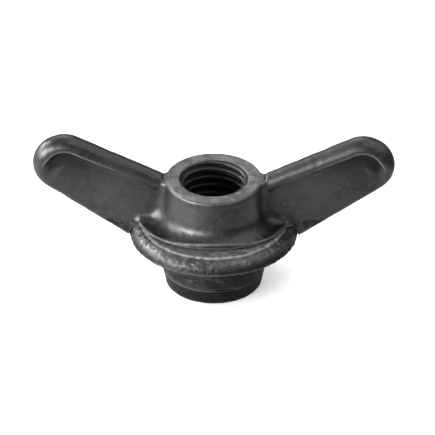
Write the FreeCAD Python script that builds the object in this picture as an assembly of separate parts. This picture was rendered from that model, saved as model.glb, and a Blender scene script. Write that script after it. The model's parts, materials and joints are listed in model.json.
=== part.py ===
import FreeCAD, Part
import math
import os

from FreeCAD import Vector

# A heavy cast wing nut with a captive swivel collar.
# Frame: +Z is the thread axis, the wings lie along X, and z = 0 is the lower end face.
# Three pieces: the wing casting with its long threaded sleeve, the flanged collar that turns
# freely on the sleeve, and the tapered ring pressed on the sleeve's end to hold the collar.

# ---- thread, 3/4-10 UNC ----
THREAD_PITCH = 2.54
THREAD_ROOT_R = 9.525
THREAD_CREST_R = 8.3
THREAD_ROOT_FLAT = THREAD_PITCH / 8
THREAD_HALF_ANGLE = 30.0
THREAD_RUN_OUT_TURNS = 2
GROOVE_OVERLAP = 0.4
BORE_MOUTH_R = 9.7
COUNTERSINK_SLOPE = 30

# ---- casting: boss, foot and sleeve ----
BOSS_TOP_Z = 32.5
BOSS_TOP_R = 13.3
BOSS_BASE_R = 13.8
BOSS_EDGE_ROUND = 0.9
FOOT_HALF_LENGTH = 20.2
FOOT_HALF_WIDTH = 15.9
FOOT_LIP = 0.7
FOOT_FILLET_R = 5.0
SLEEVE_R = 11.25

# ---- casting: wings ----
WING_SPAN = 98.6
WING_TOP_Z = 45.7
WING_TIP_R = 8.6
WING_TOP_ANGLE = 25.9
WING_LOWER_ANGLE = 34.6
WEB_TIP_THICKNESS = 2.4
WEB_ROOT_THICKNESS = 4.4
BEAD_TIP_R = 3.2
BEAD_ROOT_R = 2.6
WING_ROOT_X = 9.0
ROOT_FILLET_R = 3.5

# ---- swivel collar ----
COLLAR_TOP_Z = 18.9
COLLAR_CREST_R = 19.4
FLANGE_R = 22.95
SHOULDER_INSET = 1.3
SHOULDER_DROP = 1.05
FLANGE_EDGE_Z = 15.1
FLANGE_FACE_Z = 14.6
PILOT_R = 14.1
COLLAR_BOTTOM_Z = 5.0
COLLAR_EDGE = 0.3

# ---- retaining ring ----
RING_TOP_R = 13.9
RING_END_R = 13.0
RING_EDGE = 0.4

# ---- running fits ----
SWIVEL_RADIAL_GAP = 0.08
COLLAR_TOP_GAP = 0.3
COLLAR_BOTTOM_GAP = 0.1
WING_RELIEF = 0.35


def xz(x, z):
    """A point in the XZ plane, where every profile is drawn."""
    return Vector(x, 0, z)


def revolve(edges):
    """A solid of revolution about the thread axis from a closed XZ outline."""
    face = Part.Face(Part.Wire(Part.__sortEdges__(edges)))
    return face.revolve(Vector(0, 0, 0), Vector(0, 0, 1), 360)


def lines(points):
    """Straight edges through the points, one after the other."""
    return [Part.LineSegment(a, b).toShape() for a, b in zip(points, points[1:])]


def arc(start, middle, end):
    """A circular edge through three points."""
    return Part.Arc(start, middle, end).toShape()


def on_circle(centre, radius, degrees):
    """A point of the XZ plane on a circle, at an angle from +X towards +Z."""
    angle = math.radians(degrees)
    return centre + xz(radius * math.cos(angle), radius * math.sin(angle))


def foot_outline():
    """The upright oval column that bounds the foot: longer under the wings than in front."""
    ellipse = Part.Ellipse(Vector(0, 0, 0), FOOT_HALF_LENGTH, FOOT_HALF_WIDTH)
    face = Part.Face(Part.Wire([ellipse.toShape()]))
    return face.extrude(Vector(0, 0, BOSS_TOP_Z + 1))


def boss_and_foot():
    """The round boss, its concave fillet and the thin-lipped oval foot that sits on the collar."""
    foot_z = COLLAR_TOP_Z + COLLAR_TOP_GAP
    lip_z = foot_z + FOOT_LIP
    fillet_centre = xz(BOSS_BASE_R + FOOT_FILLET_R, lip_z + FOOT_FILLET_R)
    fillet_foot = on_circle(fillet_centre, FOOT_FILLET_R, 270)
    fillet_boss = on_circle(fillet_centre, FOOT_FILLET_R, 180)
    edge_centre = xz(BOSS_TOP_R - BOSS_EDGE_ROUND, BOSS_TOP_Z - BOSS_EDGE_ROUND)
    edge_side = on_circle(edge_centre, BOSS_EDGE_ROUND, 0)
    edge_top = on_circle(edge_centre, BOSS_EDGE_ROUND, 90)
    reach = FOOT_HALF_LENGTH + 1
    edges = lines([edge_top, xz(0, BOSS_TOP_Z), xz(0, foot_z), xz(reach, foot_z)])
    edges += lines([xz(reach, foot_z), xz(reach, lip_z), fillet_foot])
    edges.append(arc(fillet_foot, on_circle(fillet_centre, FOOT_FILLET_R, 225), fillet_boss))
    edges += lines([fillet_boss, edge_side])
    edges.append(arc(edge_side, on_circle(edge_centre, BOSS_EDGE_ROUND, 45), edge_top))
    return revolve(edges).common(foot_outline())


def tip_centre():
    """The centre of the wing's round tip."""
    return xz(WING_SPAN / 2 - WING_TIP_R, WING_TOP_Z - WING_TIP_R)


def wing_plan():
    """The wing seen from above: tapering in thickness, with a fillet each side into the boss."""
    root = WEB_ROOT_THICKNESS / 2
    tip = WEB_TIP_THICKNESS / 2
    reach = WING_SPAN / 2
    centre_y = root + ROOT_FILLET_R
    centre_x = math.sqrt((BOSS_BASE_R + ROOT_FILLET_R) ** 2 - centre_y ** 2)
    on_boss = BOSS_BASE_R / (BOSS_BASE_R + ROOT_FILLET_R)
    towards_boss = math.atan2(-centre_y, -centre_x)
    middle = (towards_boss - math.pi / 2) / 2
    edges = []
    for side in (1, -1):
        inner = Vector(0, side * centre_y * on_boss, 0)
        boss_point = Vector(centre_x * on_boss, inner.y, 0)
        arc_x = centre_x + ROOT_FILLET_R * math.cos(middle)
        arc_y = centre_y + ROOT_FILLET_R * math.sin(middle)
        web_point = Vector(centre_x, side * root, 0)
        edges += lines([inner, boss_point])
        edges.append(arc(boss_point, Vector(arc_x, side * arc_y, 0), web_point))
        edges += lines([web_point, Vector(reach, side * tip, 0)])
    edges += lines([Vector(reach, tip, 0), Vector(reach, -tip, 0)])
    edges += lines([Vector(0, centre_y * on_boss, 0), Vector(0, -centre_y * on_boss, 0)])
    face = Part.Face(Part.Wire(Part.__sortEdges__(edges)))
    return face.extrude(Vector(0, 0, WING_TOP_Z))


def round_edge(tip_angle, slope, tip_r, root_r):
    """The ends of a round edge's centre line, which touches the wing's outline from inside."""
    outside = on_circle(tip_centre(), WING_TIP_R, tip_angle)
    at_tip = on_circle(tip_centre(), WING_TIP_R - tip_r, tip_angle)
    drop = (outside.x - WING_ROOT_X) * math.tan(math.radians(slope))
    at_root = on_circle(xz(WING_ROOT_X, outside.z - drop), root_r, tip_angle + 180)
    return at_tip, at_root


def edge_cone(ends, tip_r, root_r):
    """The rounding itself: a slim cone from the tip end to the root end."""
    along = ends[1] - ends[0]
    return Part.makeCone(tip_r, root_r, along.Length, ends[0], along)


def wing():
    """The +X wing: a flat web, a bead along its top edge and around its tip, a round lower edge."""
    top_angle = 90 + WING_TOP_ANGLE
    lower_angle = WING_LOWER_ANGLE - 90
    web_radii = (WEB_TIP_THICKNESS / 2, WEB_ROOT_THICKNESS / 2)
    bead_radii = (BEAD_TIP_R, BEAD_ROOT_R)
    top = round_edge(top_angle, WING_TOP_ANGLE, *bead_radii)
    lower = round_edge(lower_angle, WING_LOWER_ANGLE, *web_radii)

    bead_path_r = WING_TIP_R - BEAD_TIP_R
    path_side = on_circle(tip_centre(), bead_path_r, 0)
    path_end = on_circle(tip_centre(), bead_path_r, lower_angle)
    outline = lines([path_end, lower[0], lower[1], top[1], top[0]])
    outline.append(arc(top[0], path_side, path_end))
    face = Part.Face(Part.Wire(Part.__sortEdges__(outline)))
    slab = face.extrude(Vector(0, 2 * BOSS_BASE_R, 0))
    slab.translate(Vector(0, -BOSS_BASE_R, 0))
    web = slab.common(wing_plan())

    section = Part.Face(Part.Wire(Part.makeCircle(BEAD_TIP_R, top[0], top[1] - top[0])))
    tip_bead = section.revolve(tip_centre(), Vector(0, 1, 0), top_angle - lower_angle)
    end_ball = Part.makeSphere(BEAD_TIP_R, path_end)
    return web.fuse([edge_cone(top, *bead_radii), edge_cone(lower, *web_radii), tip_bead, end_ball])


def collar_shoulder(gap):
    """The collar's flat top and rounded shoulder, moved outward by a gap."""
    crest = xz(COLLAR_CREST_R, COLLAR_TOP_Z + gap)
    rim = xz(FLANGE_R + gap, FLANGE_EDGE_Z)
    diagonal = gap / math.sqrt(2)
    bulge = xz(FLANGE_R - SHOULDER_INSET + diagonal, COLLAR_TOP_Z - SHOULDER_DROP + diagonal)
    return crest, bulge, rim


def wings():
    """Both wings, relieved underneath so that they clear the turning collar."""
    crest, bulge, rim = collar_shoulder(WING_RELIEF)
    relief = lines([crest, xz(0, crest.z), xz(0, 0), xz(rim.x, 0), rim])
    relief.append(arc(rim, bulge, crest))
    right = wing().cut(revolve(relief))
    left = right.copy()
    left.rotate(Vector(0, 0, 0), Vector(0, 0, 1), 180)
    return [right, left]


def bore():
    """The bore at the thread crests with a countersink at each end, as two half-round walls."""
    depth = (BORE_MOUTH_R - THREAD_CREST_R) * math.tan(math.radians(COUNTERSINK_SLOPE))
    outline = lines([
        xz(0, 0),
        xz(BORE_MOUTH_R, 0),
        xz(THREAD_CREST_R, depth),
        xz(THREAD_CREST_R, BOSS_TOP_Z - depth),
        xz(BORE_MOUTH_R, BOSS_TOP_Z),
        xz(0, BOSS_TOP_Z),
        xz(0, 0),
    ])
    face = Part.Face(Part.Wire(outline))
    return [face.revolve(Vector(0, 0, 0), Vector(0, 0, 1), side * 180) for side in (1, -1)]


def thread_turns():
    """The right-hand groove between the crests, one solid per turn, run out past both ends."""
    inner_r = THREAD_CREST_R - GROOVE_OVERLAP
    flare = (THREAD_ROOT_R - inner_r) * math.tan(math.radians(THREAD_HALF_ANGLE))
    root = THREAD_ROOT_FLAT / 2
    inner = root + flare
    corners = [(inner_r, -inner), (THREAD_ROOT_R, -root), (THREAD_ROOT_R, root), (inner_r, inner)]
    helices = []
    for radius, z in corners:
        helix = Part.makeHelix(THREAD_PITCH, THREAD_PITCH, radius)
        helix.translate(Vector(0, 0, z))
        helices.append(helix.Edges[0])
    faces = [Part.makeRuledSurface(a, b) for a, b in zip(helices, helices[1:] + helices[:1])]
    for end in (0, 1):
        points = [helix.Vertexes[end].Point for helix in helices]
        faces.append(Part.Face(Part.makePolygon(points + points[:1])))
    turn = Part.makeSolid(Part.makeShell(faces))
    turns = []
    last = math.ceil(BOSS_TOP_Z / THREAD_PITCH)
    for number in range(-THREAD_RUN_OUT_TURNS, last + THREAD_RUN_OUT_TURNS):
        turns.append(turn.translated(Vector(0, 0, number * THREAD_PITCH)))
    return turns


def wing_nut_body():
    """The casting: boss, foot, wings and the threaded sleeve in one piece."""
    sleeve = Part.makeCylinder(SLEEVE_R, BOSS_TOP_Z - BOSS_EDGE_ROUND)
    blank = boss_and_foot().fuse([sleeve] + wings())
    for half in bore():
        blank = blank.cut(half)
    return blank.cut(thread_turns()).Solids[0]


def swivel_collar():
    """The flanged collar: a round-shouldered flange above a plain pilot."""
    bore_r = SLEEVE_R + SWIVEL_RADIAL_GAP
    crest, bulge, rim = collar_shoulder(0)
    edges = [arc(crest, bulge, rim)]
    edges += lines([
        rim,
        xz(FLANGE_R - COLLAR_EDGE, FLANGE_FACE_Z),
        xz(PILOT_R, FLANGE_FACE_Z),
        xz(PILOT_R, COLLAR_BOTTOM_Z),
        xz(bore_r, COLLAR_BOTTOM_Z),
        xz(bore_r, COLLAR_TOP_Z),
        crest,
    ])
    return revolve(edges)


def retaining_ring():
    """The tapered ring on the sleeve's end, a press fit flush with the end face."""
    top_z = COLLAR_BOTTOM_Z - COLLAR_BOTTOM_GAP
    edges = lines([
        xz(SLEEVE_R, 0),
        xz(RING_END_R - RING_EDGE, 0),
        xz(RING_END_R, RING_EDGE),
        xz(RING_TOP_R, top_z),
        xz(SLEEVE_R, top_z),
        xz(SLEEVE_R, 0),
    ])
    return revolve(edges)


PIECES = {
    "wing_nut_body": wing_nut_body,
    "swivel_collar": swivel_collar,
    "retaining_ring": retaining_ring,
}

os.makedirs("parts", exist_ok=True)
for name, make in PIECES.items():
    shape = make()
    shape.exportStep(f"parts/{name}.step")
    print(name, "valid" if shape.isValid() else "NOT VALID", round(shape.Volume), "mm3")
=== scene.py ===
import json
import math

import bpy
import numpy as np
from mathutils import Matrix, Vector


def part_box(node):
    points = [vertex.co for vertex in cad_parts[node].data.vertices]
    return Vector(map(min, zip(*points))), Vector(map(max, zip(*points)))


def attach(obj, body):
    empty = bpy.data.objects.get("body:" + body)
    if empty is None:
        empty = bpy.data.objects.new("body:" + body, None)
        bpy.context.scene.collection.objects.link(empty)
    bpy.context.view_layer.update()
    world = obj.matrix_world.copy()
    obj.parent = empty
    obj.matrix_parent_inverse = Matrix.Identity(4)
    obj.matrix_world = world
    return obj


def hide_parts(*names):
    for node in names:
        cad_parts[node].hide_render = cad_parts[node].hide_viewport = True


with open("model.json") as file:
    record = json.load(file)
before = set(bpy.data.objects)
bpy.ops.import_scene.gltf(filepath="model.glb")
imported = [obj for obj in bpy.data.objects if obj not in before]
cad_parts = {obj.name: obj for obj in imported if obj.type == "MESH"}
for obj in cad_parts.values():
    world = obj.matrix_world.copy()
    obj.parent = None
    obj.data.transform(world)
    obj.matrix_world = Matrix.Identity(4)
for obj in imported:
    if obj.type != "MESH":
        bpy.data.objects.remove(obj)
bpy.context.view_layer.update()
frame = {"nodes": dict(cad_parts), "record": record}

# The wing nut's looks. Shapes and noise are in millimetres. The floor, lamps and camera are in metres.
# Each CAD node is replaced by a finer mesh of the same shape: the casting comes from a distance
# field, so that wings, boss and foot run into each other through real fillets, and the collar and
# the ring are lathed. All three get a cast or turned skin, in the mesh and in their materials.

MM = 0.001

# ---- sizes read from the frame ----


def node_box(node):
    """The lowest and highest corner of a CAD node, in millimetres."""
    low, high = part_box(node)
    return np.array(low) / MM, np.array(high) / MM


def mount(name):
    """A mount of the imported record."""
    return next(m for m in frame["record"]["mounts"] if m["name"] == name)


def node_points(node):
    """The vertices of a CAD node, in millimetres."""
    mesh = frame["nodes"][node].data
    flat = np.empty(len(mesh.vertices) * 3, np.float32)
    mesh.vertices.foreach_get("co", flat)
    return flat.reshape(-1, 3).astype(float) / MM


BODY_LOW, BODY_HIGH = node_box("wing_nut_body")
COLLAR_LOW, COLLAR_HIGH = node_box("swivel_collar")
RING_LOW, RING_HIGH = node_box("retaining_ring")
BODY_POINTS = node_points("wing_nut_body")
BODY_RADII = np.hypot(BODY_POINTS[:, 0], BODY_POINTS[:, 1])

THREAD_CREST_R = mount("thread")["dims"]["r_mm"]
BOSS_TOP_Z = float(BODY_POINTS[BODY_RADII < 1.25 * THREAD_CREST_R][:, 2].max())
HALF_SPAN = float(BODY_HIGH[0])
WING_TOP_Z = float(BODY_HIGH[2])
FOOT_HALF_WIDTH = float(BODY_HIGH[1])
COLLAR_TOP_Z = float(COLLAR_HIGH[2])
COLLAR_BOTTOM_Z = float(COLLAR_LOW[2])
FLANGE_R = float(COLLAR_HIGH[0])
FLANGE_FACE_Z = mount("bearing_face")["pos_m"][2] / MM
PILOT_R = mount("pilot")["dims"]["r_mm"]
RING_TOP_Z = float(RING_HIGH[2])
RING_TOP_R = float(RING_HIGH[0])

# ---- sizes of the casting, as the CAD has them ----
THREAD_PITCH = 2.54
THREAD_ROOT_R = 9.525
THREAD_ROOT_HALF_FLAT = THREAD_PITCH / 16
THREAD_HALF_ANGLE = math.radians(30)
BORE_MOUTH_R = 9.7
COUNTERSINK_SLOPE = math.radians(30)
BOSS_TOP_R = 13.3
BOSS_BASE_R = 13.8
BOSS_EDGE_ROUND = 0.9
FOOT_GAP = 0.3
FOOT_LIP = 0.7
FOOT_FILLET_R = 5.0
FOOT_HALF_LENGTH = 20.2
SLEEVE_R = 11.25
WING_TIP_R = 8.6
WING_TOP_ANGLE = math.radians(25.9)
WING_LOWER_ANGLE = math.radians(34.6)
WEB_TIP_HALF = 1.2
WEB_ROOT_HALF = 2.2
BEAD_TIP_R = 3.2
BEAD_ROOT_R = 2.6

# ---- finer shapes of the casting, only in the looks ----
THREAD_WEAR = 0.12
FOOT_LIP_ROUND = 0.25
FOOT_LIP_DRAFT = 0.25
BEAD_FALL = 2.2
WING_FILLET_TOP_R = 1.8
WING_FILLET_FOOT_R = 3.0
WING_RELIEF = 0.1
RELIEF_ROUND = 0.15
FACING_NOSE_R = 0.5

# ---- painted shade in the hollow behind the beads: its depth from the wing's edge, and its share ----
BEAD_SHADE_START = 1.3 * BEAD_ROOT_R
BEAD_SHADE_START_AT_TIP = 0.8
BEAD_SHADE_REACH = 2.0
BEAD_SHADE_REACH_AT_TIP = 4.5
BEAD_SHADE_TIP_RUN = 2.2 * WING_TIP_R
BEAD_SHADE_TIP_TURN = 0.9
BEAD_SHADE_STRONG_HALF = 0.6
BEAD_SHADE_WEAK_HALF = 0.15

# ---- sizes of the collar and the ring, with the notch's angles in degrees ----
SWIVEL_GAP = 0.08
COLLAR_CREST_R = 19.4
SHOULDER_INSET = 1.3
SHOULDER_DROP = 1.05
FLANGE_EDGE_Z = 15.1
LAND_DROP = 0.1
PILOT_FILLET_R = 0.7
RING_END_R = 13.0
NOTCH_ANGLE = -76
NOTCH_HALF_ANGLE = 8
NOTCH_DEPTH = 0.4

# ---- fineness of the meshes ----
VOXEL = 0.36
EDGE_REACH = 0.45
HOLLOW_REACH = 1.0
COLLAR_SEGMENTS = 500
COLLAR_STEP = 0.36
COLLAR_SOFTENING = 0.16
RING_SEGMENTS = 360
RING_STEP = 0.3
RING_SOFTENING = 0.12

# ---- painted highlight and turning marks: the side of the shoulder's painted highlight in degrees, and the pitch of the lathe marks ----
SHOULDER_HIGHLIGHT_ANGLE = 207
FACING_PITCH = 0.55
RING_TURNING_PITCH = 0.35

# ---- floor, lamps and camera, in metres. The sheet and the room are what the nut mirrors ----
FLOOR_HALF_SIZE = 3.0
FLOOR_GLOW = 0.3
SHEET_LEFTWARDS = 0.02
SHEET_HALF_X = 0.105
SHEET_HALF_Y = 0.068
SHEET_TONE = 0.68
ROOM_TONE = 0.12
ROOM_LIGHT = 0.35
LAMP_DISTANCE = 0.6
CAMERA_AZIMUTH = math.radians(0.8)
CAMERA_ELEVATION = math.radians(31.73)
CAMERA_DISTANCE = 1.2
VIEW_WIDTH = 0.1184
AIM_RIGHT, AIM_DOWN = 0.0010, 0.0108


# ---- numbers on points ----


def waves(points, wavelength, seed, count=16):
    """Smooth, repeatable noise of about unit size: a sum of plane waves in seeded directions."""
    rng = np.random.RandomState(seed)
    directions = rng.normal(size=(count, 3))
    directions /= np.linalg.norm(directions, axis=1)[:, None]
    lengths = wavelength * rng.uniform(0.75, 1.35, count)
    phases = rng.uniform(0, 2 * math.pi, count)
    total = np.zeros(len(points))
    for direction, length, phase in zip(directions, lengths, phases):
        total += np.cos(points @ direction * (2 * math.pi / length) + phase)
    return total * math.sqrt(2 / count)


def smooth_step(low, high, value):
    """0 below low, 1 above high, and a smooth rise between them."""
    t = np.clip((value - low) / (high - low), 0, 1)
    return t * t * (3 - 2 * t)


def round_union(a, b, radius):
    """Two distance fields joined through a fillet."""
    u = np.maximum(radius - a, 0)
    v = np.maximum(radius - b, 0)
    return np.maximum(radius, np.minimum(a, b)) - np.hypot(u, v)


def round_cut(a, b, radius):
    """The overlap of two distance fields, with its edge rounded over."""
    u = np.maximum(a + radius, 0)
    v = np.maximum(b + radius, 0)
    return np.minimum(-radius, np.maximum(a, b)) + np.hypot(u, v)


def circle_through(first, middle, last):
    """The centre and radius of the circle through three points of the profile plane."""
    (ax, ay), (bx, by), (cx, cy) = first, middle, last
    d = 2 * (ax * (by - cy) + bx * (cy - ay) + cx * (ay - by))
    a2, b2, c2 = ax * ax + ay * ay, bx * bx + by * by, cx * cx + cy * cy
    ux = (a2 * (by - cy) + b2 * (cy - ay) + c2 * (ay - by)) / d
    uy = (a2 * (cx - bx) + b2 * (ax - cx) + c2 * (bx - ax)) / d
    return np.array([ux, uy]), math.hypot(ax - ux, ay - uy)


SHOULDER = (
    (COLLAR_CREST_R, COLLAR_TOP_Z),
    (FLANGE_R - SHOULDER_INSET, COLLAR_TOP_Z - SHOULDER_DROP),
    (FLANGE_R, FLANGE_EDGE_Z),
)
SHOULDER_CENTRE, SHOULDER_R = circle_through(*SHOULDER)


# ---- the casting as a distance field ----


def oval(x, y, half_x, half_y):
    """The distance from an upright oval column, close to its surface."""
    scaled = np.hypot(x / half_x, y / half_y)
    steepness = np.hypot(x / half_x ** 2, y / half_y ** 2)
    return scaled * (scaled - 1) / np.maximum(steepness, 1e-6)


def boss_field(x, y, z):
    """The boss, its oval foot and the fillet between them."""
    r = np.hypot(x, y)
    foot_z = COLLAR_TOP_Z + FOOT_GAP
    lip_z = foot_z + FOOT_LIP
    taper = (z - lip_z - FOOT_FILLET_R) / (BOSS_TOP_Z - lip_z - FOOT_FILLET_R)
    side = r - BOSS_BASE_R - (BOSS_TOP_R - BOSS_BASE_R) * np.clip(taper, 0, 1)
    boss = round_cut(side, z - BOSS_TOP_Z, BOSS_EDGE_ROUND)
    flared = np.maximum(round_union(boss, z - lip_z, FOOT_FILLET_R), foot_z - z)
    outline = oval(x, y, FOOT_HALF_LENGTH, FOOT_HALF_WIDTH)
    outline = outline - FOOT_LIP_DRAFT * np.clip(lip_z + FOOT_LIP - z, 0, 1)
    return round_cut(flared, outline, FOOT_LIP_ROUND)


def tip_point(radius, angle):
    """A point around the centre of the wing's round tip, as x and z."""
    centre_x = HALF_SPAN - WING_TIP_R
    centre_z = WING_TOP_Z - WING_TIP_R
    return centre_x + radius * math.cos(angle), centre_z + radius * math.sin(angle)


TOP_ANGLE = math.pi / 2 + WING_TOP_ANGLE
LOWER_ANGLE = WING_LOWER_ANGLE - math.pi / 2


def depth_from_line(x, z, angle):
    """How far inside a wing's straight edge a point lies. The edge touches the tip's circle."""
    centre_x, centre_z = tip_point(0, 0)
    return WING_TIP_R - (x - centre_x) * math.cos(angle) - (z - centre_z) * math.sin(angle)


def edge_profile(y, depth, edge_r, web_half):
    """A wing's cross-section: a round edge that eases down to the flat web behind it."""
    fall = smooth_step(edge_r, edge_r + BEAD_FALL, depth)
    face = np.abs(y) - (edge_r + (web_half - edge_r) * fall)
    return np.where(depth < edge_r, np.hypot(y, edge_r - depth) - edge_r, face)


def wing_field(x, y, z):
    """Both wings: a tapering web inside a bead along the top and the tip, and a round lower edge."""
    x = np.abs(x)
    centre_x, centre_z = tip_point(0, 0)
    share = np.clip((x - BOSS_BASE_R) / (HALF_SPAN - BOSS_BASE_R), 0, 1)
    web_half = WEB_ROOT_HALF + (WEB_TIP_HALF - WEB_ROOT_HALF) * share
    middle = (TOP_ANGLE + LOWER_ANGLE) / 2
    half = (TOP_ANGLE - LOWER_ANGLE) / 2
    angle = np.arctan2(z - centre_z, x - centre_x) - middle
    angle = (angle + math.pi) % (2 * math.pi) - math.pi
    in_cap = np.abs(angle) < half
    cap_depth = WING_TIP_R - np.hypot(x - centre_x, z - centre_z)
    cap_r = web_half + (BEAD_TIP_R - web_half) * smooth_step(-half, 0.1, angle)
    along = np.clip((x - BOSS_BASE_R) / (tip_point(WING_TIP_R, TOP_ANGLE)[0] - BOSS_BASE_R), 0, 1)
    bead_r = BEAD_ROOT_R + (BEAD_TIP_R - BEAD_ROOT_R) * along
    upper = edge_profile(y, depth_from_line(x, z, TOP_ANGLE), bead_r, web_half)
    from_lower = depth_from_line(x, z, LOWER_ANGLE)
    lower = np.where(from_lower < web_half, np.hypot(y, web_half - from_lower) - web_half, -1.0)
    cap = edge_profile(y, cap_depth, cap_r, web_half)
    return np.where(in_cap, cap, np.maximum(upper, lower))


def collar_space(r, z):
    """The space of the turning collar, with the clearance that the casting leaves around it."""
    beyond_r = np.maximum(r - SHOULDER_CENTRE[0], 0)
    beyond_z = np.maximum(z - SHOULDER_CENTRE[1], 0)
    shoulder = np.hypot(beyond_r, beyond_z) - SHOULDER_R
    return np.maximum(shoulder - WING_RELIEF, z - COLLAR_TOP_Z - FOOT_GAP)


def thread_field(x, y, r, z):
    """The threaded bore: the distance inside the helical wall, positive in the metal."""
    turn = np.arctan2(y, x) / (2 * math.pi)
    from_groove = np.abs((z / THREAD_PITCH - turn + 0.5) % 1 - 0.5) * THREAD_PITCH
    flank = THREAD_ROOT_R - (from_groove - THREAD_ROOT_HALF_FLAT) / math.tan(THREAD_HALF_ANGLE)
    wall = np.minimum(THREAD_ROOT_R, flank)
    wear = THREAD_WEAR
    crest = np.maximum(wall - THREAD_CREST_R, -wear)
    wall = THREAD_CREST_R + np.where(crest < wear, (crest + wear) ** 2 / (4 * wear), crest)
    return (r - wall) * math.sin(THREAD_HALF_ANGLE)


def bore_field(x, y, z):
    """The metal around the bore: the thread, opened by a shallow countersink at each end."""
    r = np.hypot(x, y)
    run, rise = 1 / math.tan(COUNTERSINK_SLOPE), math.sin(COUNTERSINK_SLOPE)
    top = (r - BORE_MOUTH_R + (BOSS_TOP_Z - z) * run) * rise
    bottom = (r - BORE_MOUTH_R + z * run) * rise
    return np.minimum(thread_field(x, y, r, z), np.minimum(top, bottom))


def casting_field(x, y, z):
    """The whole casting. Negative inside."""
    r = np.hypot(x, y)
    higher = smooth_step(COLLAR_TOP_Z + 3, BOSS_TOP_Z - 2, z)
    fillet_r = WING_FILLET_FOOT_R + (WING_FILLET_TOP_R - WING_FILLET_FOOT_R) * higher
    metal = round_union(boss_field(x, y, z), wing_field(x, y, z), fillet_r)
    metal = round_cut(metal, -collar_space(r, z), RELIEF_ROUND)
    faced = round_cut(BOSS_TOP_Z - z, r - BOSS_BASE_R - FACING_NOSE_R, FACING_NOSE_R)
    metal = np.maximum(metal, -faced)
    sleeve = np.maximum(np.maximum(r - SLEEVE_R, -z), z - BOSS_TOP_Z + BOSS_EDGE_ROUND)
    metal = np.minimum(metal, sleeve)
    return np.maximum(metal, -bore_field(x, y, z))


# ---- meshes ----

CELL_CORNERS = [(a, b, c) for a in (0, 1) for b in (0, 1) for c in (0, 1)]


def sample(field, low, high, step):
    """A grid that reaches a little past a box: its axes, and the field at its points."""
    axes = [np.arange(a - 2 * step, b + 3 * step, step) for a, b in zip(low, high)]
    values = np.empty([len(axis) for axis in axes], np.float32)
    for i, x in enumerate(axes[0]):
        values[i] = field(np.array(x), axes[1][:, None], axes[2][None, :])
    return axes, values


def crossed_cells(inside):
    """The grid cells that have corners on both sides of the surface."""
    nx, ny, nz = (n - 1 for n in inside.shape)
    count = sum(inside[a:a + nx, b:b + ny, c:c + nz].astype(np.int8) for a, b, c in CELL_CORNERS)
    return np.argwhere((count > 0) & (count < 8))


def cell_middles(values, cells):
    """In each cell, the mean of the points where its edges cross the surface, in grid steps."""
    total = np.zeros((len(cells), 3))
    hits = np.zeros(len(cells))
    for first in CELL_CORNERS:
        for axis in range(3):
            if first[axis]:
                continue
            second = list(first)
            second[axis] = 1
            a = values[tuple((cells + first).T)]
            b = values[tuple((cells + second).T)]
            crossed = (a < 0) != (b < 0)
            t = np.where(crossed, a / np.where(crossed, a - b, 1), 0)
            point = np.tile(np.array(first, float), (len(cells), 1))
            point[:, axis] = t
            total += point * crossed[:, None]
            hits += crossed
    return cells + total / hits[:, None]


def crossing_quads(inside, number, axis):
    """A quad, facing outwards, around each grid edge along one axis that crosses the surface."""
    u, v = [k for k in range(3) if k != axis]
    ahead = [slice(1, -1)] * 3
    ahead[axis] = slice(0, -1)
    after = list(ahead)
    after[axis] = slice(1, None)
    edges = np.argwhere(inside[tuple(ahead)] != inside[tuple(after)])
    edges[:, u] += 1
    edges[:, v] += 1
    ring = []
    for du, dv in ((0, 0), (-1, 0), (-1, -1), (0, -1)):
        cell = edges.copy()
        cell[:, u] += du
        cell[:, v] += dv
        ring.append(number[tuple(cell.T)])
    ring = np.array(ring).T
    leaving = inside[tuple(edges.T)]
    flip = leaving if axis == 1 else ~leaving
    ring[flip] = ring[flip][:, ::-1]
    return ring


def surface_net(field, low, high, step):
    """A quad mesh on the zero level of a field: one vertex in each grid cell that it crosses."""
    axes, values = sample(field, low, high, step)
    inside = values < 0
    cells = crossed_cells(inside)
    number = np.full([n - 1 for n in inside.shape], -1, np.int64)
    number[tuple(cells.T)] = np.arange(len(cells))
    vertices = np.array([axis[0] for axis in axes]) + cell_middles(values, cells) * step
    return vertices, np.concatenate([crossing_quads(inside, number, axis) for axis in range(3)])


def gradient(field, points, reach):
    """The field at each point, its slope, and its bend, which is high on convex edges."""
    centre = field(*points.T)
    slope = np.empty_like(points)
    bend = -6 * centre
    for axis in range(3):
        ahead, behind = points.copy(), points.copy()
        ahead[:, axis] += reach
        behind[:, axis] -= reach
        a, b = field(*ahead.T), field(*behind.T)
        slope[:, axis] = (a - b) / (2 * reach)
        bend += a + b
    return centre, slope, bend / reach ** 2


def settle(field, points, step, rounds=4):
    """Moves each vertex on to the field's zero level."""
    for _ in range(rounds):
        value, slope, _ = gradient(field, points, step / 8)
        scale = np.maximum((slope ** 2).sum(1), 0.05)
        move = np.clip(value / scale, -step / 2, step / 2)
        points = points - slope * move[:, None]
    return points


def new_object(name, vertices, faces):
    """A smooth-shaded mesh object from millimetre points."""
    mesh = bpy.data.meshes.new(name)
    mesh.from_pydata((vertices * MM).tolist(), [], faces.tolist())
    mesh.update()
    mesh.polygons.foreach_set("use_smooth", np.ones(len(mesh.polygons), bool))
    obj = bpy.data.objects.new(name, mesh)
    bpy.context.scene.collection.objects.link(obj)
    return obj


def add_attribute(obj, name, values):
    """A number per vertex that the material can read."""
    attribute = obj.data.attributes.new(name, "FLOAT", "POINT")
    attribute.data.foreach_set("value", np.asarray(values, np.float32))


def casting_skin(points):
    """The depth of the cast skin's waves. There are none on the thread, sleeve and faced top."""
    r, z = np.hypot(points[:, 0], points[:, 1]), points[:, 2]
    cast = smooth_step(SLEEVE_R + 0.6, SLEEVE_R + 1.6, r) * (z > COLLAR_TOP_Z - 4)
    cast = cast * (1 - (z > BOSS_TOP_Z - 0.15) * (r < BOSS_BASE_R))
    skin = 0.035 * waves(points, 7.0, 11) + 0.016 * waves(points, 2.6, 12)
    return np.clip(0.02 - skin, 0, 0.2) * cast


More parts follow.
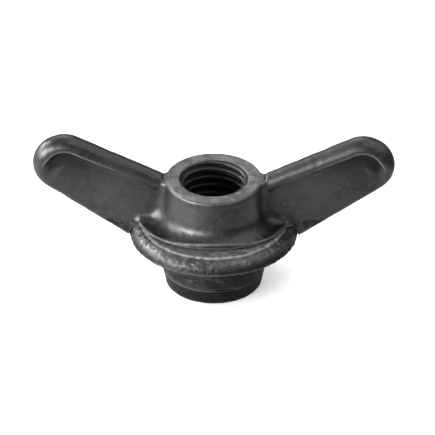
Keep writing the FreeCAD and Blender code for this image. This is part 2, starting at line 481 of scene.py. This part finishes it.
def bead_painted_shade(points):
    """Painted shade in the hollow behind a wing's bead, deepest at the tip. From 0 to 1. It is
    stronger on two opposite faces."""
    x, z = np.abs(points[:, 0]), points[:, 2]
    centre_x, centre_z = tip_point(0, 0)
    slope = (WING_TOP_ANGLE + WING_LOWER_ANGLE) / 2
    ahead = (x - centre_x) * math.cos(slope) + (z - centre_z) * math.sin(slope)
    around = np.arctan2(z - centre_z, x - centre_x)
    cap_depth = WING_TIP_R - np.hypot(x - centre_x, z - centre_z)
    depth = np.where(ahead > 0, cap_depth, depth_from_line(x, z, TOP_ANGLE))
    low_end = smooth_step(LOWER_ANGLE, LOWER_ANGLE + BEAD_SHADE_TIP_TURN, around)
    at_tip = np.where(ahead > 0, low_end, smooth_step(-BEAD_SHADE_TIP_RUN, 0, ahead))
    strong_half = points[:, 0] * points[:, 1] > 0
    along_bead = np.where(strong_half, BEAD_SHADE_STRONG_HALF, BEAD_SHADE_WEAK_HALF) * (ahead < 0)
    start = BEAD_SHADE_START + BEAD_SHADE_START_AT_TIP * at_tip
    reach = BEAD_SHADE_REACH + BEAD_SHADE_REACH_AT_TIP * at_tip
    fade = np.exp(-np.maximum(depth - start, 0) / reach)
    band = smooth_step(start - 1.0, start + 0.4, depth) * fade
    return band * np.maximum(at_tip, along_bead) * smooth_step(BOSS_BASE_R, BOSS_BASE_R + 4, x)


def build_casting():
    """The nut casting: wings, boss, foot, sleeve and thread in one mesh."""
    points, quads = surface_net(casting_field, BODY_LOW, BODY_HIGH, VOXEL)
    points = settle(casting_field, points, VOXEL)
    _, slope, bend = gradient(casting_field, points, EDGE_REACH)
    _, _, hollow = gradient(casting_field, points, HOLLOW_REACH)
    normals = slope / np.maximum(np.linalg.norm(slope, axis=1), 1e-6)[:, None]
    points = points - normals * casting_skin(points)[:, None]
    points = np.clip(points, BODY_LOW, BODY_HIGH)
    obj = new_object("nut_casting", points, quads)
    add_attribute(obj, "edge", np.clip(bend * 0.6, 0, 1))
    # The hollow attribute is the mask of painted shade: concave places, and the recess behind each
    # bead, are painted darker with it.
    add_attribute(obj, "hollow", np.maximum(np.clip(-hollow * 0.4, 0, 1), bead_painted_shade(points)))
    return obj


def even_profile(corners, step, soften):
    """A closed profile resampled to even steps, with its corners softened by a small blur."""
    loop = np.array(corners + corners[:1])
    lengths = np.linalg.norm(np.diff(loop, axis=0), axis=1)
    reach = np.concatenate([[0], np.cumsum(lengths)])
    count = int(reach[-1] / step)
    at = np.linspace(0, reach[-1], count, endpoint=False)
    even = np.column_stack([np.interp(at, reach, loop[:, k]) for k in (0, 1)])
    offsets = np.arange(count)
    offsets = np.minimum(offsets, count - offsets) * reach[-1] / count
    blur = np.exp(-0.5 * (offsets / soften) ** 2)
    blur /= blur.sum()
    kernel = np.fft.rfft(blur)
    smooth = [np.fft.irfft(np.fft.rfft(even[:, k]) * kernel, count) for k in (0, 1)]
    return np.column_stack(smooth)


def spin(section, segments):
    """The points of a profile in each of its places around the thread axis."""
    angles = np.linspace(0, 2 * math.pi, segments, endpoint=False)
    cos, sin = np.cos(angles)[:, None], np.sin(angles)[:, None]
    x, y = section[:, 0] * cos, section[:, 0] * sin
    z = np.broadcast_to(section[:, 1], x.shape)
    return np.stack([x, y, z], -1).reshape(-1, 3)


def lathe(name, profile, segments, skin):
    """A closed ring from a profile that runs clockwise seen with r right and z up. skin(points) is
    the depth taken off the surface."""
    count = len(profile)
    tangent = np.roll(profile, -1, 0) - np.roll(profile, 1, 0)
    outward = np.column_stack([-tangent[:, 1], tangent[:, 0]])
    outward /= np.linalg.norm(outward, axis=1)[:, None]
    bend = np.roll(outward, -1, 0) - np.roll(outward, 1, 0)
    edge = (bend * tangent).sum(1) / (tangent ** 2).sum(1)
    points = spin(profile, segments)
    points = points - spin(outward, segments) * skin(points)[:, None]
    i, j = np.meshgrid(np.arange(segments), np.arange(count), indexing="ij")
    i2, j2 = (i + 1) % segments, (j + 1) % count
    quads = np.stack([i * count + j, i * count + j2, i2 * count + j2, i2 * count + j], -1)
    obj = new_object(name, points, quads.reshape(-1, 4))
    add_attribute(obj, "edge", np.tile(np.clip(edge * 0.8, 0, 1), segments))
    return obj


def collar_skin(points):
    """The depth of the collar's rough skin: broad and small waves, and pits where it is rubbed."""
    r = np.hypot(points[:, 0], points[:, 1])
    outer = smooth_step(SLEEVE_R + SWIVEL_GAP + 0.5, SLEEVE_R + SWIVEL_GAP + 1.5, r)
    shoulder = smooth_step(COLLAR_CREST_R - 1, COLLAR_CREST_R + 1, r)
    rough = 0.03 * waves(points, 7.0, 21) + 0.035 * waves(points, 2.4, 22)
    pits = np.maximum(waves(points, 1.4, 23) - 0.3, 0) * 0.06
    return outer * np.clip(0.07 - rough + pits * (0.3 + 0.7 * shoulder), 0, 0.35)


def build_collar():
    """The swivel collar: rough cast flange with a rounded shoulder, and its pilot."""
    bore_r = SLEEVE_R + SWIVEL_GAP
    land_z = COLLAR_TOP_Z - LAND_DROP
    shoulder_r, shoulder_z = SHOULDER[1]
    corners = [
        (bore_r, COLLAR_BOTTOM_Z),
        (bore_r, land_z),
        (COLLAR_CREST_R - 0.9, land_z),
        (COLLAR_CREST_R - 0.3, COLLAR_TOP_Z),
        (COLLAR_CREST_R + 0.15, COLLAR_TOP_Z),
        (COLLAR_CREST_R + 1.0, COLLAR_TOP_Z - 0.32),
        (shoulder_r - 0.6, shoulder_z + 0.4),
        (shoulder_r, shoulder_z),
        (shoulder_r + 0.75, shoulder_z - 1.1),
        (FLANGE_R, FLANGE_EDGE_Z),
        (FLANGE_R - 0.1, FLANGE_EDGE_Z - 0.25),
        (FLANGE_R - 0.5, FLANGE_FACE_Z),
        (PILOT_R + PILOT_FILLET_R, FLANGE_FACE_Z),
        (PILOT_R + PILOT_FILLET_R * 0.3, FLANGE_FACE_Z - PILOT_FILLET_R * 0.3),
        (PILOT_R, FLANGE_FACE_Z - PILOT_FILLET_R),
        (PILOT_R, COLLAR_BOTTOM_Z + 0.25),
        (PILOT_R - 0.25, COLLAR_BOTTOM_Z),
    ]
    profile = even_profile(corners, COLLAR_STEP, COLLAR_SOFTENING)
    return lathe("collar_flange", profile, COLLAR_SEGMENTS, collar_skin)


def ring_skin(points):
    """The depth of the ring's faint waves and of the notch at its front, under the collar."""
    r = np.hypot(points[:, 0], points[:, 1])
    outer = smooth_step(SLEEVE_R + 0.4, SLEEVE_R + 1.2, r)
    from_notch = np.abs(np.degrees(np.arctan2(points[:, 1], points[:, 0])) - NOTCH_ANGLE)
    notch = NOTCH_DEPTH * (1 - smooth_step(NOTCH_HALF_ANGLE, NOTCH_HALF_ANGLE + 6, from_notch))
    notch = notch * smooth_step(RING_TOP_Z - 1.0, RING_TOP_Z - 0.5, points[:, 2])
    return outer * (np.clip(0.03 - 0.02 * waves(points, 3.0, 31), 0, 0.2) + notch)


def build_ring():
    """The retaining ring: a tapered turned band with a shallow notch under the collar."""
    corners = [
        (SLEEVE_R, 0.0),
        (SLEEVE_R, RING_TOP_Z),
        (RING_TOP_R - 0.25, RING_TOP_Z),
        (RING_TOP_R, RING_TOP_Z - 0.3),
        (RING_END_R + 0.05, 0.45),
        (RING_END_R - 0.4, 0.0),
    ]
    profile = even_profile(corners, RING_STEP, RING_SOFTENING)
    return lathe("ring_band", profile, RING_SEGMENTS, ring_skin)


# ---- materials ----


def grey(value):
    """A near neutral grey, a touch cool."""
    return (value * 0.97, value, value * 1.03, 1.0)


def neutral(value):
    """A grey without a tint."""
    return (value, value, value, 1.0)


class Nodes:
    """Short calls for building one material's node tree."""

    def __init__(self, name):
        self.material = bpy.data.materials.new(name)
        self.material.use_nodes = True
        self.tree = self.material.node_tree
        self.shader = self.tree.nodes["Principled BSDF"]
        self.place = self.add("ShaderNodeTexCoord").outputs["Object"]

    def add(self, kind, **settings):
        node = self.tree.nodes.new(kind)
        for key, value in settings.items():
            setattr(node, key, value)
        return node

    def feed(self, node, socket, source):
        """Puts a number, a colour or another node's output into a socket."""
        if isinstance(source, bpy.types.NodeSocket):
            self.tree.links.new(source, node.inputs[socket])
        else:
            node.inputs[socket].default_value = source

    def math(self, operation, a, b=0.0):
        node = self.add("ShaderNodeMath", operation=operation)
        self.feed(node, 0, a)
        self.feed(node, 1, b)
        return node.outputs[0]

    def times(self, *factors):
        """The product of masks and numbers."""
        product = factors[0]
        for factor in factors[1:]:
            product = self.math("MULTIPLY", product, factor)
        return product

    def rest_of(self, mask):
        """What a mask leaves: one minus the mask."""
        return self.math("SUBTRACT", 1.0, mask)

    def hypotenuse(self, a, b):
        squares = [self.math("POWER", side, 2.0) for side in (a, b)]
        return self.math("SQRT", self.math("ADD", *squares))

    def ramp(self, value, low, high, out_low=0.0, out_high=1.0):
        """Stretches a value so that low gives out_low and high gives out_high."""
        node = self.add("ShaderNodeMapRange", interpolation_type="SMOOTHSTEP")
        for socket, number in enumerate((value, low, high, out_low, out_high)):
            self.feed(node, socket, number)
        return node.outputs[0]

    def noise(self, size_mm, detail=3.0, rough=0.55, flatness=1.0):
        """Noise between 0 and 1. Its features are about size_mm across, and lower by the flatness."""
        squash = self.add("ShaderNodeMapping")
        self.feed(squash, "Vector", self.place)
        self.feed(squash, "Scale", (1.0, 1.0, flatness))
        node = self.add("ShaderNodeTexNoise")
        self.feed(node, "Vector", squash.outputs[0])
        self.feed(node, "Scale", 1 / (size_mm * MM))
        self.feed(node, "Detail", detail)
        self.feed(node, "Roughness", rough)
        return node.outputs["Fac"]

    def grooves(self, across, pitch):
        """Lathe marks: a sine wave along a radius or a height."""
        return self.math("SINE", self.math("MULTIPLY", across, 2 * math.pi / pitch))

    def attribute(self, name):
        return self.add("ShaderNodeAttribute", attribute_name=name).outputs["Fac"]

    def edge_wear_and_highlight(self, noise, unevenness, low, high):
        """The mesh's edge mask, broken up by a noise."""
        uneven = self.math("ADD", self.attribute("edge"), self.math("MULTIPLY", noise, unevenness))
        return self.ramp(uneven, low, high)

    def mix(self, share, a, b):
        node = self.add("ShaderNodeMix", data_type="RGBA")
        self.feed(node, "Factor", share)
        self.feed(node, 6, a)
        self.feed(node, 7, b)
        return node.outputs[2]

    def coats(self, colour, *coats):
        """Greys laid over a colour in turn, each given as its share and its value."""
        for share, value in coats:
            colour = self.mix(share, colour, grey(value))
        return colour

    def bump(self, height, distance_mm, strength=1.0, under=None):
        node = self.add("ShaderNodeBump")
        self.feed(node, "Height", height)
        self.feed(node, "Distance", distance_mm * MM)
        self.feed(node, "Strength", strength)
        if under is not None:
            self.feed(node, "Normal", under)
        return node.outputs["Normal"]

    def position(self):
        """Radius from the thread axis and height, in millimetres."""
        split = self.add("ShaderNodeSeparateXYZ")
        self.feed(split, 0, self.place)
        x, y, z = split.outputs
        return self.math("DIVIDE", self.hypotenuse(x, y), MM), self.math("DIVIDE", z, MM)

    def toward(self, degrees):
        """The cosine of the angle, around the thread axis, between a point and a direction."""
        flat = self.add("ShaderNodeVectorMath", operation="MULTIPLY")
        self.feed(flat, 0, self.place)
        self.feed(flat, 1, (1.0, 1.0, 0.0))
        unit = self.add("ShaderNodeVectorMath", operation="NORMALIZE")
        self.feed(unit, 0, flat.outputs[0])
        angle = math.radians(degrees)
        dot = self.add("ShaderNodeVectorMath", operation="DOT_PRODUCT")
        self.feed(dot, 0, unit.outputs[0])
        self.feed(dot, 1, (math.cos(angle), math.sin(angle), 0.0))
        return dot.outputs["Value"]

    def finish(self, colour, roughness, normal, specular):
        self.feed(self.shader, "Base Color", colour)
        self.feed(self.shader, "Roughness", roughness)
        self.feed(self.shader, "Normal", normal)
        self.feed(self.shader, "Specular IOR Level", specular)
        return self.material


def casting_masks(n, radius, height):
    """Where the casting's faced top ring, its bore and the lip of its foot are, from 0 to 1."""
    on_top = n.ramp(height, BOSS_TOP_Z - 0.3, BOSS_TOP_Z - 0.1)
    faced = n.times(on_top, n.rest_of(n.ramp(radius, BOSS_TOP_R - 0.8, BOSS_TOP_R + 0.3)))
    within = n.rest_of(n.ramp(radius, THREAD_ROOT_R - 0.1, THREAD_ROOT_R + 0.3))
    in_bore = n.times(within, n.rest_of(faced))
    lip_top = COLLAR_TOP_Z + FOOT_GAP + FOOT_LIP
    at_lip = n.rest_of(n.ramp(height, lip_top, lip_top + 0.8))
    return faced, in_bore, at_lip


def casting_material():
    """Smooth blackened casting, with a faced ring on top, painted shade in its hollows and deep in the
    bore, and painted highlights on the thread crests near the mouth.
    """
    n = Nodes("blackened_casting")
    radius, height = n.position()
    faced, in_bore, at_lip = casting_masks(n, radius, height)
    near_mouth = n.ramp(height, BOSS_TOP_Z - 7.0, BOSS_TOP_Z)
    broad = n.noise(14.0, 2.0)
    scuffs = n.noise(2.4, 4.0, 0.65)
    fine = n.noise(1.1, 4.0, 0.65)
    grain = n.noise(0.35, 3.0, 0.6)
    rings = n.grooves(radius, FACING_PITCH)
    hollow = n.attribute("hollow")
    edge = n.edge_wear_and_highlight(fine, 0.5, 0.55, 1.15)

    skin = n.mix(n.ramp(broad, 0.35, 0.68), grey(0.008), grey(0.016))
    skin = n.coats(
        skin,
        (n.ramp(fine, 0.45, 0.75, 0.0, 0.6), 0.035),
        # lighter convex edges: wear, and partly a painted highlight along them
        (n.times(edge, 0.5), 0.12),
        # painted shade in the hollows and behind the beads
        (hollow, 0.004),
    )
    scuffed = n.mix(n.ramp(scuffs, 0.38, 0.64), grey(0.012), grey(0.11))
    scuffed = n.coats(scuffed, (n.ramp(rings, -0.2, 1.0, 0.0, 0.5), 0.13))
    # painted highlights on the thread crests near the mouth, which fade to painted shade deeper in the
    # bore
    bore_painted_light = n.mix(n.times(edge, near_mouth), grey(0.008), grey(0.04))
    colour = n.mix(in_bore, n.mix(faced, skin, scuffed), bore_painted_light)

    roughness = n.ramp(broad, 0.3, 0.7, 0.27, 0.35)
    roughness = n.math("ADD", roughness, n.ramp(grain, 0.3, 0.7, -0.05, 0.08))
    roughness = n.math("ADD", roughness, n.times(faced, 0.06))

    outside = n.rest_of(in_bore)
    normal = n.bump(n.times(grain, outside), 0.05, 0.5)
    normal = n.bump(n.times(fine, outside), 0.12, 0.5, normal)
    normal = n.bump(n.times(rings, faced), 0.03, 0.8, normal)

    dulled = n.times(at_lip, n.ramp(n.noise(2.4), 0.42, 0.6, 0.85, 0.0))
    # painted shade: the bore's reflection is dulled, more so deeper in
    shaded = n.times(in_bore, n.ramp(near_mouth, 0.0, 1.0, 0.75, 0.6))
    # painted shade: the reflection is dulled in the hollows too
    specular = n.math("SUBTRACT", 0.5, n.times(hollow, 0.42))
    specular = n.times(specular, n.rest_of(dulled), n.rest_of(shaded))
    return n.finish(colour, roughness, normal, specular)


def collar_masks(n, radius, height, lumps):
    """Where the collar's parts are, from 0 to 1: its top, the flat land under the foot, the slope
    outside it, the crest and the shoulder, the flange's outer face, and the pilot."""

    def band(middle, half):
        """A soft ring around a radius, broken up by the lumps."""
        away = n.math("ABSOLUTE", n.math("SUBTRACT", radius, middle))
        return n.times(n.rest_of(n.ramp(away, 0.2 * half, half)), n.ramp(lumps, 0.25, 0.6, 0.25, 1.0))

    top = n.ramp(height, FLANGE_EDGE_Z + 1.2, FLANGE_EDGE_Z + 2.4)
    land = n.times(top, n.rest_of(n.ramp(radius, COLLAR_CREST_R - 0.8, COLLAR_CREST_R - 0.2)))
    slope = n.times(top, n.ramp(radius, COLLAR_CREST_R, COLLAR_CREST_R + 0.8))
    crest = n.times(top, band(COLLAR_CREST_R + 0.1, 0.8))
    shoulder = n.times(top, band(FLANGE_R - SHOULDER_INSET - 0.4, 1.1))
    low = n.rest_of(n.ramp(height, FLANGE_EDGE_Z + 0.3, FLANGE_EDGE_Z + 2.7))
    face = n.times(low, n.ramp(height, FLANGE_FACE_Z - 0.2, FLANGE_FACE_Z))
    pilot = n.rest_of(n.ramp(height, FLANGE_FACE_Z - 0.5, FLANGE_FACE_Z + 0.3))
    return top, land, slope, crest, shoulder, face, pilot


def collar_material():
    """Rough blackened casting: mottled, worn bright on the crest, which is partly a painted highlight,
    with a painted highlight on the shoulder's front left, painted light on the land under the foot,
    painted highlights along the lower edges, and painted shade on the flange's outer face and the
    pilot.
    """
    n = Nodes("rough_casting")
    radius, height = n.position()
    broad = n.noise(9.0, 2.0)
    lumps = n.noise(1.6, 4.0, 0.6)
    speck = n.noise(0.7, 4.0, 0.7)
    streaks = n.noise(2.6, 4.0, 0.65, 5.0)
    edge = n.edge_wear_and_highlight(lumps, 0.6, 0.6, 1.1)
    top, land, slope, crest, shoulder, face, pilot = collar_masks(n, radius, height, lumps)
    # painted highlight: the shoulder is painted lighter towards the front left, where its highlight
    # falls
    shoulder_painted_highlight = n.times(n.ramp(n.toward(SHOULDER_HIGHLIGHT_ANGLE), 0.9, 0.99, 0.12, 0.8), n.ramp(speck, 0.4, 0.6))

    colour = n.mix(n.ramp(broad, 0.35, 0.65), grey(0.010), grey(0.020))
    colour = n.coats(
        colour,
        (n.ramp(speck, 0.52, 0.72, 0.0, 0.7), 0.055),
        # painted light: the land under the foot is painted light grey where the foot shades it
        (n.times(land, n.ramp(lumps, 0.3, 0.7, 0.25, 0.8)), 0.2),
        (n.times(slope, n.ramp(lumps, 0.45, 0.62, 0.0, 0.55)), 0.07),
        # painted shade: the flange's outer face is painted darker
        (n.times(face, 0.8), 0.006),
        # painted highlight along the flange's lower edge
        (n.times(edge, face, 0.4), 0.1),
        # the crest is worn bright, and its lightness is partly a painted highlight
        (n.times(crest, 0.75), 0.34),
        # painted highlight on the shoulder's front left
        (n.times(shoulder, shoulder_painted_highlight), 0.3),
        # top edges painted lighter: wear, and partly a painted highlight
        (n.times(edge, top, 0.35), 0.16),
        # painted shade: the pilot under the flange is painted darker
        (n.times(pilot, 0.85), 0.004),
        (n.times(pilot, n.ramp(streaks, 0.48, 0.7, 0.0, 0.75)), 0.04),
        # painted highlight along the pilot's edges, at the seam with the ring
        (n.times(edge, pilot, 0.15), 0.12),
    )
    roughness = n.ramp(speck, 0.35, 0.7, 0.46, 0.26)
    roughness = n.math("SUBTRACT", roughness, n.times(shoulder, 0.1))
    normal = n.bump(speck, 0.14, 0.6)
    normal = n.bump(lumps, 0.4, 0.5, normal)
    normal = n.bump(n.times(streaks, pilot), 0.3, 0.6, normal)
    # the painted shade also dulls the reflection on the pilot and the outer face
    specular = n.ramp(n.math("MAXIMUM", pilot, face), 0.0, 1.0, 0.5, 0.13)
    return n.finish(colour, roughness, normal, specular)


def ring_material():
    """Turned and blackened steel, the darkest part, with fine lathe rings and a painted highlight
    along its edges.
    """
    n = Nodes("turned_dark_steel")
    _, height = n.position()
    fine = n.noise(0.8, 4.0, 0.65)
    streaks = n.noise(2.6, 4.0, 0.65, 7.0)
    edge = n.edge_wear_and_highlight(fine, 0.5, 0.6, 1.1)

    colour = n.mix(n.ramp(fine, 0.4, 0.75), grey(0.002), grey(0.007))
    colour = n.coats(
        colour,
        (n.ramp(streaks, 0.48, 0.7, 0.0, 0.6), 0.016),
        # painted highlight along the ring's edges, at the seam under the collar
        (n.times(edge, 0.3), 0.1),
    )
    normal = n.bump(n.grooves(height, RING_TURNING_PITCH), 0.012, 0.6)
    normal = n.bump(streaks, 0.25, 0.6, normal)
    normal = n.bump(fine, 0.08, 0.4, normal)
    return n.finish(colour, n.ramp(fine, 0.3, 0.7, 0.34, 0.5), normal, 0.12)


def floor_material():
    """A plain pale floor. The nut mirrors it as a pale oval sheet that ends in a dim room: the
    sheet's edge is the dark line along the front of the beads."""
    n = Nodes("pale_floor")
    seen = n.add("ShaderNodeLightPath").outputs["Is Camera Ray"]
    split = n.add("ShaderNodeSeparateXYZ")
    n.feed(split, 0, n.place)
    shares = []
    for axis, middle, half in ((0, -SHEET_LEFTWARDS, SHEET_HALF_X), (1, 0.0, SHEET_HALF_Y)):
        share = n.math("DIVIDE", n.math("SUBTRACT", split.outputs[axis], middle), half)
        shares.append(n.math("ABSOLUTE", share))
    out = n.hypotenuse(*shares)
    mirrored = n.mix(n.ramp(out, 0.85, 1.25), neutral(SHEET_TONE), neutral(ROOM_TONE))
    pale = n.mix(n.noise(60.0, 2.0), neutral(0.90), neutral(0.92))
    n.feed(n.shader, "Emission Color", neutral(1.0))
    n.feed(n.shader, "Emission Strength", n.times(seen, FLOOR_GLOW))
    return n.finish(n.mix(seen, mirrored, pale), 0.7, n.bump(n.noise(3.0), 0.01, 0.2), 0.2)


# ---- stage ----


def build_floor():
    """A large floor at the height the nut stands on."""
    mesh = bpy.data.meshes.new("floor")
    size = FLOOR_HALF_SIZE
    corners = [(-size, -size, 0), (size, -size, 0), (size, size, 0), (-size, size, 0)]
    mesh.from_pydata(corners, [], [(0, 1, 2, 3)])
    floor = bpy.data.objects.new("floor", mesh)
    floor.location.z = float(RING_LOW[2]) * MM
    bpy.context.scene.collection.objects.link(floor)
    mesh.materials.append(floor_material())


def add_lamp(name, azimuth, elevation, width, height, power):
    """A soft box aimed at the nut. Azimuth 0 is on the camera's side, and positive is to the left."""
    a, e = math.radians(azimuth), math.radians(elevation)
    away = Vector((-math.sin(a) * math.cos(e), -math.cos(a) * math.cos(e), math.sin(e)))
    lamp = bpy.data.lights.new(name, "AREA")
    lamp.shape = "RECTANGLE"
    lamp.size = width
    lamp.size_y = height
    lamp.energy = power
    obj = bpy.data.objects.new(name, lamp)
    target = Vector((0, 0, BOSS_TOP_Z * MM * 0.6))
    obj.location = target + away * LAMP_DISTANCE
    obj.rotation_mode = "QUATERNION"
    obj.rotation_quaternion = (-away).to_track_quat("-Z", "Y")
    bpy.context.scene.collection.objects.link(obj)


def build_light():
    """Two soft boxes low at the front left, two along the left, and two high ones, behind and on the
    right, in an evenly lit room."""
    world = bpy.data.worlds.new("studio")
    world.use_nodes = True
    background = world.node_tree.nodes["Background"]
    background.inputs["Color"].default_value = neutral(1.0)
    background.inputs["Strength"].default_value = ROOM_LIGHT
    bpy.context.scene.world = world
    add_lamp("key", 52, 6, 0.36, 0.28, 8.4)
    add_lamp("key_edge", 20, 5, 0.28, 0.28, 1.4)
    add_lamp("left", 90, 15, 0.46, 0.32, 3.6)
    add_lamp("rim", 115, 27, 0.2, 0.18, 2.6)
    add_lamp("back", 165, 48, 0.4, 0.4, 1.2)
    add_lamp("right", -90, 55, 0.9, 0.7, 2.6)


def build_camera():
    """The photo's viewpoint: square on to the wings, looking down on the boss, without perspective."""
    camera = bpy.data.cameras.new("camera")
    camera.type = "ORTHO"
    camera.ortho_scale = VIEW_WIDTH
    camera.clip_start, camera.clip_end = 0.05, 20.0
    obj = bpy.data.objects.new("camera", camera)
    a, e = CAMERA_AZIMUTH, CAMERA_ELEVATION
    back = Vector((math.sin(a) * math.cos(e), -math.cos(a) * math.cos(e), math.sin(e)))
    right = Vector((math.cos(a), math.sin(a), 0))
    up = back.cross(right)
    aim = Vector((0, 0, BOSS_TOP_Z * MM)) + right * AIM_RIGHT - up * AIM_DOWN
    obj.location = aim + back * CAMERA_DISTANCE
    obj.rotation_mode = "QUATERNION"
    obj.rotation_quaternion = Matrix((right, up, back)).transposed().to_quaternion()
    bpy.context.scene.collection.objects.link(obj)
    bpy.context.scene.camera = obj


# ---- the object ----


def place(piece, body, node, material):
    """Gives a piece its material and lets it stand for a CAD node on that node's body."""
    piece.data.materials.append(material)
    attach(piece, body)
    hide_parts(node)


place(build_casting(), "nut", "wing_nut_body", casting_material())
place(build_collar(), "collar", "swivel_collar", collar_material())
place(build_ring(), "nut", "retaining_ring", ring_material())
build_floor()
build_light()
build_camera()
bpy.context.scene.view_settings.view_transform = "Standard"
